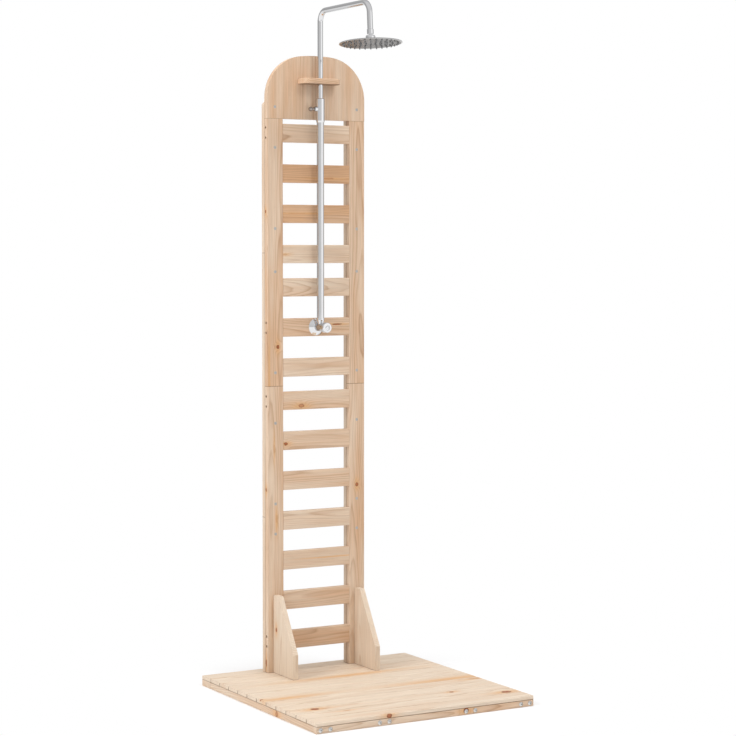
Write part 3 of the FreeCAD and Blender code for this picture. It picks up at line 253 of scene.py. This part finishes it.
def pine(name, grain, low, step, seed, amber=0.0, pith=(8, 40), ring=3.4, knots=(), seams=(), shade_in_holes=False):
    """Pine for one node. `grain` is a key of ACROSS, `seed` is the stretch of wood it is cut from,
    `pith` says where the pith lies across and through the board from its middle, and `ring` is the
    rings' width, in millimetres. Each knot is
    its place in the part, its radius, its length, and its heart's strength, which is 0 for a bare
    streak. Each seam is a row axis, a place on it and a half width, where shade is painted into the
    wood as a dark line; a drilled node gets the same painted shade inside its deep screw holes."""
    material, tree, shader = new_material(name)
    order = ACROSS[grain]
    space = use_group(tree, BOARD_SPACE, {"Low": low, "Step": step})
    whole = wire(tree, "ShaderNodeSeparateXYZ", {0: wire(tree, "ShaderNodeTexCoord").outputs["Object"]})
    places = []
    for axes in (wire(tree, "ShaderNodeSeparateXYZ", {0: space.outputs["Local"]}), whole):
        places.append(wire(tree, "ShaderNodeCombineXYZ",
                           {i: axes.outputs[axis] for i, axis in enumerate(order)}).outputs[0])
    number = maths(tree, "ADD", space.outputs["Number"], seed)
    bend, heart, rim, halo = 0.0, 0.0, 0.0, 0.0
    for x, y, z, radius, length, strength in knots:
        centre = dict(zip("XYZ", millimetres(x, y, z)))
        knot = use_group(tree, KNOT, {"Place": places[1], "Centre": tuple(centre[axis] for axis in order),
                                      "Radius": radius / 1000, "Length": length / 1000, "Strength": strength})
        bend = maths(tree, "ADD", knot.outputs["Bend"], bend)
        heart = maths(tree, "MAXIMUM", knot.outputs["Heart"], heart)
        rim = maths(tree, "MAXIMUM", knot.outputs["Rim"], rim)
        halo = maths(tree, "MAXIMUM", knot.outputs["Halo"], halo)
    growth = use_group(tree, GROWTH, {"Place": places[0], "Number": number, "Bend": bend,
                                      "Pith": (0, pith[0] / 1000, pith[1] / 1000), "Ring": ring / 1000})
    warm = maths(tree, "MULTIPLY_ADD", growth.outputs["Patch"], 1.5, amber - 0.75, clamp=True)
    early = mixed(tree, warm, (*EARLY_WOOD, 1), (*EARLY_AMBER, 1))
    late = mixed(tree, warm, (*LATE_WOOD, 1), (*LATE_AMBER, 1))
    colour = mixed(tree, maths(tree, "MULTIPLY", growth.outputs["Late"], 0.8), early, late)
    shade = ramp(tree, growth.outputs["Fibre"], ((0.3, 0.86), (0.7, 1.06)))
    colour = mixed(tree, 1.0, colour, shade, "MULTIPLY")
    colour = mixed(tree, maths(tree, "MULTIPLY", growth.outputs["Fleck"], 0.5), colour, (*FLECK, 1))
    if knots:
        broken = maths(tree, "MULTIPLY", growth.outputs["Fibre"], 1.5)
        streak = maths(tree, "MULTIPLY", halo, broken, clamp=True)
        colour = mixed(tree, streak, colour, (*STREAK, 1))
        rings = ramp(tree, growth.outputs["Late"], ((0.0, 1.0), (1.0, 0.55)))
        core = mixed(tree, 1.0, (*KNOT_HEART, 1), rings, "MULTIPLY")
        colour = mixed(tree, maths(tree, "MULTIPLY", heart, 0.9), colour, core)
        colour = mixed(tree, maths(tree, "MULTIPLY", rim, 0.7), colour, (*KNOT_RIM, 1))
    # Painted shade: a dark line along each seam, in place of the shade that falls in the joint.
    painted_shade = 0.0
    for axis, where, width in seams:
        line = maths(tree, "COMPARE", whole.outputs[axis], where / 1000, width / 1000)
        painted_shade = maths(tree, "MAXIMUM", line, painted_shade)
    # Painted shade inside the deep screw holes of the side faces.
    if shade_in_holes:
        within = maths(tree, "COMPARE", maths(tree, "ABSOLUTE", whole.outputs["X"]), *HOLE_DEPTH)
        level = maths(tree, "COMPARE", whole.outputs["Y"], *HOLE_LEVEL)
        painted_shade = maths(tree, "MAXIMUM", maths(tree, "MULTIPLY", within, level), painted_shade)
    # The painted shade darkens the wood towards a dark brown.
    if seams:
        colour = mixed(tree, maths(tree, "MULTIPLY", painted_shade, 0.65), colour, (*PAINTED_SHADE_COLOUR, 1))
    rough = maths(tree, "MULTIPLY_ADD", growth.outputs["Late"], -0.12, 0.62)
    bump = wire(tree, "ShaderNodeBump", {"Strength": 0.35, "Distance": 0.0006,
                                         "Height": growth.outputs["Height"]})
    tree.links.new(colour, shader.inputs["Base Color"])
    tree.links.new(rough, shader.inputs["Roughness"])
    tree.links.new(bump.outputs[0], shader.inputs["Normal"])
    shader.inputs["Specular IOR Level"].default_value = 0.25
    dress(name, material)


# A cell's size, in metres, along an axis where the whole node lies in one cell.
ROOM = 10.0


def one_cell(name):
    """A cell that holds the whole node, with the node's middle as its middle."""
    low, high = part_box(name)
    middle = (low + high) / 2
    return tuple(middle - Vector((ROOM, ROOM, ROOM)) / 2), (ROOM, ROOM, ROOM)


def pair_cells(name, joints=None):
    """Two cells, left and right of the middle plane, or six where two joints cut the pair."""
    low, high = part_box(name)
    half = 2 * POST_MIDDLE / 1000
    middle = (low + high) / 2
    low_z, step_z = middle.z - ROOM / 2, ROOM
    if joints:
        low_z, step_z = millimetres(2 * joints[0] - joints[1], joints[1] - joints[0])
    return (-half, middle.y - ROOM / 2, low_z), (half, ROOM, step_z)


random.seed(7)

# The row's own places, in millimetres: faces, pitches, and the heights of joints.
FACE = 318.5
SEAM = 338.5
SIDE = -182
TOP = 33
FRONT = -394.5
DECK_WIDTH = 63
DECK_PITCH = 66
JOIST_PITCH = 204
POST_MIDDLE = 153
PANEL_FOOT = 1854
SHELF_UNDERSIDE = 1968
BEAM_FRONT = 334.5
STILE_JOINT = 978
REAR_JOINTS = (546, 1415)

# The painted shade along seams. On the deck the line also takes in the feet's hidden faces; the others
# stop just short of the faces that meet there, because parts of those faces show.
ON_DECK = ("Z", TOP, 1.2)
OVER_FRAME = ("Z", 21.6, 0.55)
UNDER_DECK = ("Z", 20.4, 0.55)
FRONT_LAYER = ("Y", SEAM - 0.6, 0.55)
REAR_LAYER = ("Y", SEAM + 0.6, 0.55)

# Marks on single boards: how amber each one is, and its knots.
SLAT_SEED = 10
SLATS = {
    1: (0.42, ()),
    2: (1.30, ((45, FACE, 1661, 2, 20, 0.4),)),
    3: (1.0, ((-70, FACE, 1545, 1.5, 30, 0.2),)),
    4: (0.38, ((-116, FACE, 1410, 3, 6, 0.2),)),
    5: (0.42, ()),
    6: (0.68, ((78, FACE, 1178, 2.2, 16, 1),)),
    7: (0.38, ()),
    8: (0.50, ((-56, FACE, 911, 6, 10, 0.55),)),
    9: (0.50, ((-115, FACE, 787, 5, 6, 1),)),
    10: (0.48, ()),
    11: (0.26, ()),
    12: (0.42, ((60, FACE, 402, 1.5, 30, 0),)),
    13: (0.48, ()),
    14: (0.55, ()),
}
for number, (amber, knots) in SLATS.items():
    low, step = one_cell(f"slat_{number:02d}")
    pine(f"slat_{number:02d}", "X", low, step, SLAT_SEED + 1.7 * number, amber,
         (random.uniform(-45, 45), random.uniform(18, 60)), random.uniform(3.0, 4.6), knots)

DECK_SEED = 60
DECK_PALER = 0.1
DECK = {
    1: (0.0, ()),
    2: (0.0, ()),
    3: (0.12, ()),
    4: (0.0, ((30, 160, TOP, 10, 60, 0),)),
    5: (0.05, ()),
    6: (0.0, ()),
    7: (0.05, ((-382, -28, TOP, 4, 6, 0.9), (290, -52, TOP, 13, 60, 0), (-294, -47, TOP, 10, 40, 0))),
    8: (0.10, ((363, -88, TOP, 7, 20, 0.25),)),
    9: (0.05, ()),
    10: (0.08, ((-300, -225, TOP, 11, 12, 1), (189, -224, TOP, 6, 7, 1), (-268, -231, TOP, 1.8, 20, 0.8))),
    11: (0.10, ((-223, -288, TOP, 3, 12, 0.4), (340, -309, TOP, 11, 15, 1))),
    12: (0.15, ((-137, FRONT, 28, 7, 8, 0.9),)),
}
for number, (amber, knots) in DECK.items():
    low, step = one_cell(f"deck_board_{number:02d}")
    # Each long side gets painted shade along its gap. The front board's outer side shows, so its line lies
    # behind the front edge instead.
    half = DECK_WIDTH / 2
    middle = -FRONT - half - DECK_PITCH * (number - 1)
    pine(f"deck_board_{number:02d}", "X flat", low, step, DECK_SEED + 2.3 * number, amber - DECK_PALER,
         (random.uniform(-40, 40), -random.uniform(20, 60)), random.uniform(3.0, 4.6), knots,
         (("Y", max(middle - half, FRONT + 5), 0.3), ("Y", middle + half, 0.3), OVER_FRAME))

pine("front_rail", "X", *one_cell("front_rail"), 101.0, 0.40, (10, 30), 3.4, ((136, FRONT, 13, 7, 9, 1),),
     (UNDER_DECK,))
pine("rear_beam", "X flat", *one_cell("rear_beam"), 104.0, 0.3, (15, -30), 3.2, (), (UNDER_DECK,))
pine("joists", "Y flat", (-2 * JOIST_PITCH / 1000, -ROOM / 2, -ROOM / 2), (JOIST_PITCH / 1000, ROOM, ROOM),
     107.0, 0.30, (12, -28), 3.6, ((-385, -137, 10, 8, 8, 0.6),), (UNDER_DECK, ("Y", BEAM_FRONT, 1.0)))
pine("front_stiles_lower", "Z", *pair_cells("front_stiles_lower"), 111.0, 0.50, (-16, 34), 3.8,
     ((-158, FACE, 771, 2, 14, 0.2), (-149, FACE, 539, 3, 12, 0.15), (153, FACE, 638, 5, 6, 0.9),
      (SIDE, 330, 637, 4, 5, 0.9), (SIDE, 331, 66, 3.5, 11, 0.9)),
     (("Z", STILE_JOINT, 1.0), FRONT_LAYER, ON_DECK), shade_in_holes=True)
pine("front_stiles_upper", "Z", *pair_cells("front_stiles_upper"), 115.0, 0.57, (20, 40), 3.6,
     ((-144, FACE, 1107, 5, 6, 1), (SIDE, 330, 1550, 4, 5, 0.9), (-176, FACE, 1010, 2, 40, 0)),
     (("Z", STILE_JOINT, 1.0), ("Z", PANEL_FOOT, 1.0), FRONT_LAYER), shade_in_holes=True)
pine("rear_stiles", "Z", *pair_cells("rear_stiles", REAR_JOINTS), 121.0, 0.20, (-24, -30), 3.4, (),
     (("Z", REAR_JOINTS[0], 1.0), ("Z", REAR_JOINTS[1], 1.0), REAR_LAYER, ON_DECK))
pine("arched_panel", "Z", *one_cell("arched_panel"), 131.0, 0.54, (-30, 46), 4.4, (), (FRONT_LAYER,))
# The shelf gets painted shade where it meets the panel, and on its whole underside.
pine("pipe_shelf", "X flat", *one_cell("pipe_shelf"), 137.0, 0.60, (10, 30), 3.4, (),
     (("Y", FACE, 1.2), ("Z", SHELF_UNDERSIDE, 1.0)))
pine("gussets", "Z side", *pair_cells("gussets"), 141.0, -0.08, (20, 30), 3.6, ((-162, 298, 178, 5, 6, 1),),
     (ON_DECK, ("Y", FACE, 1.0)))


# ---------------------------------------------------------------- metals, plastics and rubber

def make_wear():
    """Fine wear for metals: roughness that varies in patches and wipes, and a slight unevenness."""
    group, given, result = new_group("wear", (("Low", "Float"), ("High", "Float")),
                                     (("Rough", "Float"), ("Height", "Float")))
    place = wire(group, "ShaderNodeTexCoord").outputs["Object"]
    patch = noise(group, place, (28, 28, 28), 4)
    wipe = noise(group, place, (260, 260, 40), 2)
    both = maths(group, "MULTIPLY_ADD", patch, 0.8, maths(group, "MULTIPLY", wipe, 0.2))
    rough = wire(group, "ShaderNodeMapRange",
                 {"Value": both, "From Min": 0.35, "From Max": 0.65,
                  "To Min": given.outputs["Low"], "To Max": given.outputs["High"]})
    group.links.new(rough.outputs[0], result.inputs["Rough"])
    group.links.new(patch, result.inputs["Height"])
    return group


WEAR = make_wear()
WEAR_DEPTH = 0.0002


def worn_material(name, colour, low, high, metallic=0.0, bump=0.1, outline=0.0):
    """A worn surface, whose roughness varies from `low` to `high`. `bump` is how uneven it is, and
    `outline` is how much painted shade darkens a metal where it turns away from the eye, in place of the dark
    reflections there."""
    material, tree, shader = new_material(name)
    wear = use_group(tree, WEAR, {"Low": low, "High": high})
    uneven = wire(tree, "ShaderNodeBump", {"Strength": bump, "Distance": WEAR_DEPTH,
                                           "Height": wear.outputs["Height"]})
    tint = mixed(tree, wear.outputs["Height"], tuple(0.93 * value for value in colour) + (1,), (*colour, 1))
    # Painted shade: the metal's colour darkens towards its outline, standing in for dark reflections.
    if outline:
        facing = wire(tree, "ShaderNodeLayerWeight", {"Blend": 0.5}).outputs["Facing"]
        edge_shade = ramp(tree, facing, ((0.30, 1.0), (0.62, 1 - outline), (1.0, 1 - outline)))
        tint = mixed(tree, 1.0, tint, edge_shade, "MULTIPLY")
    tree.links.new(tint, shader.inputs["Base Color"])
    tree.links.new(wear.outputs["Rough"], shader.inputs["Roughness"])
    tree.links.new(uneven.outputs[0], shader.inputs["Normal"])
    shader.inputs["Metallic"].default_value = metallic
    return material


# Chrome and zinc steel get painted shade along their outlines.
MATERIALS = {
    "chrome": worn_material("chrome", (0.86, 0.86, 0.87), 0.03, 0.08, 1.0, 0.01, outline=0.34),
    "steel_plate": worn_material("steel_plate", (0.225, 0.22, 0.215), 0.34, 0.46, 1.0, 0.03),
    "zinc_steel": worn_material("zinc_steel", (0.74, 0.73, 0.71), 0.30, 0.48, 1.0, outline=0.55),
    "brass": worn_material("brass", (0.70, 0.50, 0.20), 0.18, 0.34, 1.0),
    "nylon": worn_material("nylon", (0.80, 0.79, 0.74), 0.40, 0.55),
    "seal_rubber": worn_material("seal_rubber", (0.025, 0.025, 0.025), 0.50, 0.70),
    "nozzle_silicone": worn_material("nozzle_silicone", (0.25, 0.25, 0.255), 0.45, 0.60),
}
for entry in frame["record"]["subparts"]:
    if entry["material_slot"] in MATERIALS:
        dress(entry["node"], MATERIALS[entry["material_slot"]])

# Three pieces look darker than the rest of their kind.
dress("frame_screws", worn_material("dull_zinc", (0.50, 0.49, 0.48), 0.30, 0.48, 1.0))
# Painted reflection: the clamp screw's chrome is tinted dark brown for the wooden panel it mirrors.
dress("clamp_screw", worn_material("screw_chrome_wood_reflection", (0.40, 0.345, 0.31), 0.05, 0.10, 1.0, 0.01, outline=0.3))
dress("head_shell", worn_material("head_chrome", (0.47, 0.465, 0.46), 0.08, 0.16, 1.0, 0.01))


# ---------------------------------------------------------------- floor, light and camera

def make_floor():
    """A pale floor that turns into plain white well away from the post."""
    bpy.ops.mesh.primitive_circle_add(vertices=128, radius=30, fill_type="NGON")
    floor = bpy.context.object
    floor.name = "floor"
    material, tree, shader = new_material("floor")
    place = wire(tree, "ShaderNodeTexCoord").outputs["Object"]
    away = vectors(tree, "LENGTH", place)
    mottle = noise(tree, place, (9, 9, 9), 3)
    pale = ramp(tree, mottle, ((0.3, 0.90), (0.7, 0.93)))
    tree.links.new(pale, shader.inputs["Base Color"])
    shader.inputs["Roughness"].default_value = 0.8
    shader.inputs["Specular IOR Level"].default_value = 0.1
    white = wire(tree, "ShaderNodeEmission", {"Color": (1, 1, 1, 1), "Strength": 1.0})
    fade = wire(tree, "ShaderNodeMapRange", {"Value": away, "From Min": 0.38, "From Max": 0.8},
                interpolation_type="SMOOTHSTEP")
    path = wire(tree, "ShaderNodeLightPath")
    seen = maths(tree, "MAXIMUM", path.outputs["Is Camera Ray"], path.outputs["Is Glossy Ray"])
    blend = wire(tree, "ShaderNodeMixShader", {0: maths(tree, "MULTIPLY", fade.outputs[0], seen),
                                               1: shader.outputs[0], 2: white.outputs[0]})
    output = next(node for node in tree.nodes if node.type == "OUTPUT_MATERIAL")
    tree.links.new(blend.outputs[0], output.inputs["Surface"])
    floor.data.materials.append(material)


def make_world():
    """A studio's surround: plain white to the camera. As light, and in the metal, it is pale grey
    with a tall bright window in front of the post, a little to the right, and paler overhead."""
    world = bpy.data.worlds.new("studio")
    bpy.context.scene.world = world
    world.use_nodes = True
    tree = world.node_tree
    tree.nodes.clear()
    parts = wire(tree, "ShaderNodeSeparateXYZ", {0: wire(tree, "ShaderNodeTexCoord").outputs["Generated"]})
    back = maths(tree, "MULTIPLY", parts.outputs["Y"], -1.0)
    turn = maths(tree, "MULTIPLY_ADD", maths(tree, "ARCTAN2", parts.outputs["X"], back), 0.5 / math.pi, 0.5)
    around = ramp(tree, turn, ((0.0, 0.40), (0.125, 0.34), (0.18, 0.24), (0.235, 0.29), (0.305, 0.50),
                               (0.42, 0.53), (0.50, 0.61), (0.54, 1.12), (0.605, 1.12), (0.65, 0.64),
                               (0.75, 0.52), (1.0, 0.40)))
    overhead = wire(tree, "ShaderNodeMapRange",
                    {"Value": parts.outputs["Z"], "From Min": 0.15, "From Max": 0.6},
                    interpolation_type="SMOOTHSTEP")
    soft = mixed(tree, overhead.outputs[0], around, (0.59, 0.59, 0.60, 1))
    light = wire(tree, "ShaderNodeBackground", {"Color": soft, "Strength": 1.0})
    plain = wire(tree, "ShaderNodeBackground", {"Color": (1, 1, 1, 1), "Strength": 1.0})
    path = wire(tree, "ShaderNodeLightPath")
    mirrored = maths(tree, "MULTIPLY", path.outputs["Is Glossy Ray"], 0.22)
    seen = maths(tree, "MAXIMUM", path.outputs["Is Camera Ray"], mirrored)
    blend = wire(tree, "ShaderNodeMixShader", {0: seen, 1: light.outputs[0], 2: plain.outputs[0]})
    output = tree.nodes.new("ShaderNodeOutputWorld")
    tree.links.new(blend.outputs[0], output.inputs["Surface"])


def area_light(name, place, target, width, height, power):
    data = bpy.data.lights.new(name, "AREA")
    data.shape = "RECTANGLE"
    data.size = width
    data.size_y = height
    data.energy = power
    lamp = bpy.data.objects.new(name, data)
    bpy.context.scene.collection.objects.link(lamp)
    lamp.location = place
    lamp.visible_glossy = False
    lamp.rotation_euler = (Vector(target) - Vector(place)).to_track_quat("-Z", "Y").to_euler()


make_floor()
make_world()
area_light("front", (0.7, -3.3, 4.8), (0, 0.3, 1.2), 1.2, 1.2, 46)
area_light("side", (-4.6, -0.6, 3.4), (0, 0, 1.0), 2.4, 3.2, 139)
area_light("top", (0.2, -0.2, 6.0), (0, 0, 0), 2.4, 2.4, 115)

# The camera: the photograph's own view, turned down a little, with the rest left to the shift.
PHOTO_SIZE = 736
FOCAL_PIXELS = 2071.1
SENSOR = 36.0
AZIMUTH = math.radians(29.733)
TILT = math.radians(2.320)

camera_data = bpy.data.cameras.new("camera")
camera_data.sensor_width = SENSOR
camera_data.lens = FOCAL_PIXELS / PHOTO_SIZE * SENSOR
camera_data.shift_y = -0.05
camera = bpy.data.objects.new("camera", camera_data)
bpy.context.scene.collection.objects.link(camera)
camera.location = millimetres(-3251.6, -5718.4, 1433.6)
camera.rotation_euler = (math.pi / 2 - TILT, 0, -AZIMUTH)
bpy.context.scene.camera = camera
bpy.context.scene.view_settings.view_transform = "Standard"
